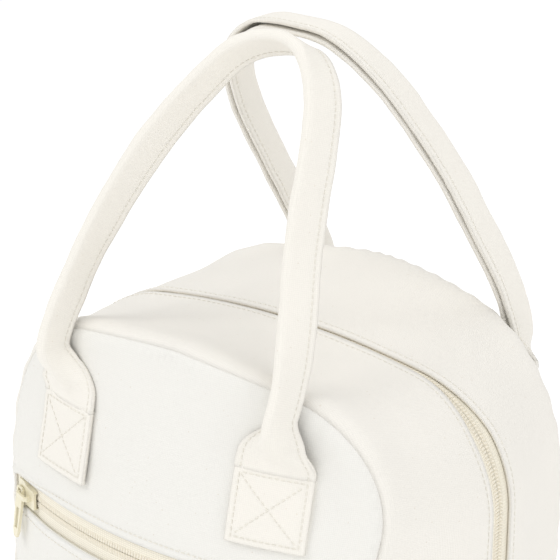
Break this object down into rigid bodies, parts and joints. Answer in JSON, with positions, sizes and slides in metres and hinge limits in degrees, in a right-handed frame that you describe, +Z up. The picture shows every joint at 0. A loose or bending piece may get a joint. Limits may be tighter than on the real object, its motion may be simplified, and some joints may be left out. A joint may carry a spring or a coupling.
{
  "type": "lunch box",
  "caption": "Soft insulated canvas lunch box with an arched top, a zip over the top and down the sides, a zipped front pocket and folded-strap carrying handles.",
  "frame": {"origin": "centre of the flat base, where it stands", "axes": "+Z up, the front with the pocket faces -Y, +X to the right seen from the front"},
  "size_m": [0.224, 0.17, 0.3585],
  "materials": {
    "canvas": "woven cotton canvas",
    "strap": "folded cotton canvas",
    "pocket_cloth": "thin woven cotton",
    "foam": "soft insulating wadding",
    "lining": "smooth wipe-clean film",
    "seam_binding": "folded cotton tape",
    "zip_tape": "woven polyester tape",
    "zip_coil": "satin nylon",
    "slider_metal": "enamelled zinc",
    "board": "stiff sheet"
  },
  "bodies": {
    "bag_back": {"back_panel": "canvas", "foam_back": "foam", "lining_back": "lining", "gusset_back": "canvas", "foam_gusset_back": "foam", "lining_gusset_back": "lining", "base_strip": "canvas", "foam_base": "foam", "lining_base": "lining", "front_panel_foot": "canvas", "foam_front_foot": "foam", "lining_front_foot": "lining", "binding_back": "seam_binding", "base_board": "board", "main_tape_back": "zip_tape", "main_tape_front_ends": "zip_tape", "main_coil_back": "zip_coil", "main_coil_front_ends": "zip_coil", "main_zip_stops": "zip_coil", "back_handle_ends": "strap"},
    "front_flap": {"front_panel_upper": "canvas", "front_panel_pocket": "canvas", "foam_front": "foam", "lining_front": "lining", "gusset_front": "canvas", "foam_gusset_front": "foam", "lining_gusset_front": "lining", "binding_front": "seam_binding", "main_tape_front": "zip_tape", "main_coil_front": "zip_coil", "pocket_tape_upper": "zip_tape", "pocket_tape_lower": "zip_tape", "pocket_coil_upper": "zip_coil", "pocket_coil_lower": "zip_coil", "pocket_zip_stops": "zip_coil", "pocket_bag": "pocket_cloth", "front_handle_ends": "strap"},
    "front_handle": {"front_handle": "strap"},
    "back_handle": {"back_handle": "strap"},
    "main_slider": {"main_slider": "slider_metal"},
    "main_puller": {"main_puller": "slider_metal"},
    "pocket_slider": {"pocket_slider": "slider_metal"},
    "pocket_puller": {"pocket_puller": "slider_metal"}
  },
  "joints": [
    {"name": "front_flap_open", "type": "hinge", "parent": "bag_back", "child": "front_flap", "pos_m": [0, -0.0853, 0.064], "axis": [1, 0, 0], "range_deg": [0, 80]},
    {"name": "main_slider_travel", "type": "slide", "parent": "bag_back", "child": "main_slider", "axis": [0, 0, 1], "range_m": [0, 0.08], "deforming": ["main_coil_front", "main_coil_front_ends", "main_coil_back"]},
    {"name": "main_puller_swing", "type": "hinge", "parent": "main_slider", "child": "main_puller", "pos_m": [0.11195, 0, 0.04755], "axis": [0, -1, 0], "range_deg": [0, 130]},
    {"name": "pocket_slider_travel", "type": "hinge", "parent": "front_flap", "child": "pocket_slider", "pos_m": [0, 0.12682, 0.154], "axis": [0, 0, 1], "range_deg": [0, 44.4], "deforming": ["pocket_coil_upper", "pocket_coil_lower"]},
    {"name": "pocket_puller_swing", "type": "hinge", "parent": "pocket_slider", "child": "pocket_puller", "pos_m": [-0.08505, -0.06917, 0.154], "axis": [-0.3809, -0.9246, 0], "range_deg": [-85, 34]},
    {"name": "front_handle_swing", "type": "hinge", "parent": "front_flap", "child": "front_handle", "pos_m": [0, -0.07688, 0.208], "axis": [1, 0, 0], "range_deg": [0, 150]},
    {"name": "back_handle_swing", "type": "hinge", "parent": "bag_back", "child": "back_handle", "pos_m": [0, 0.07845, 0.208], "axis": [-1, 0, 0], "range_deg": [0, 150]}
  ]
}
